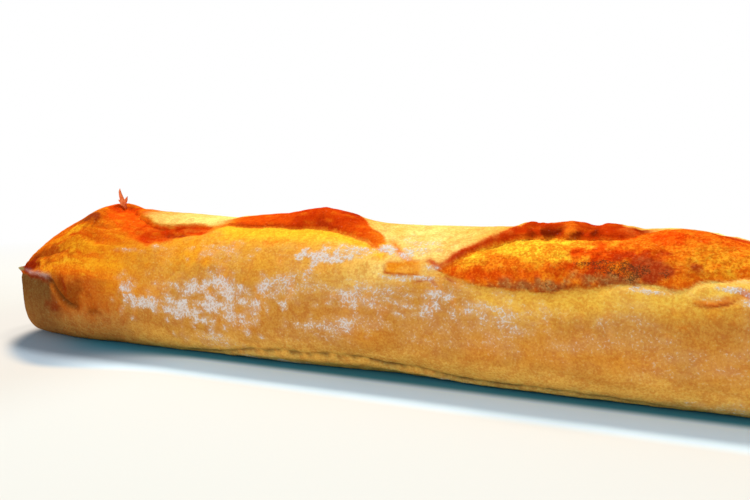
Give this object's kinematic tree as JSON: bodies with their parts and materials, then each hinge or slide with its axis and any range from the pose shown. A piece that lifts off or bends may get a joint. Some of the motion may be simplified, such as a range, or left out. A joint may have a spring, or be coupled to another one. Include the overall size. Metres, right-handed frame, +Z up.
{
  "type": "baguette",
  "caption": "Long slender loaf of bread with a flat baked underside, blunt ends and a golden crust slashed slantwise across the top.",
  "frame": {"origin": "middle of the loaf in plan, at the height of the flat baked underside", "axes": "+X along the loaf, away from its high blunt end; +Z up, away from the underside; -Y the side with the low ends of the slashes"},
  "size_m": [0.585, 0.064, 0.0646],
  "materials": {
    "crust": "matte"
  },
  "bodies": {
    "root": {"baguette": "crust"}
  },
  "joints": []
}
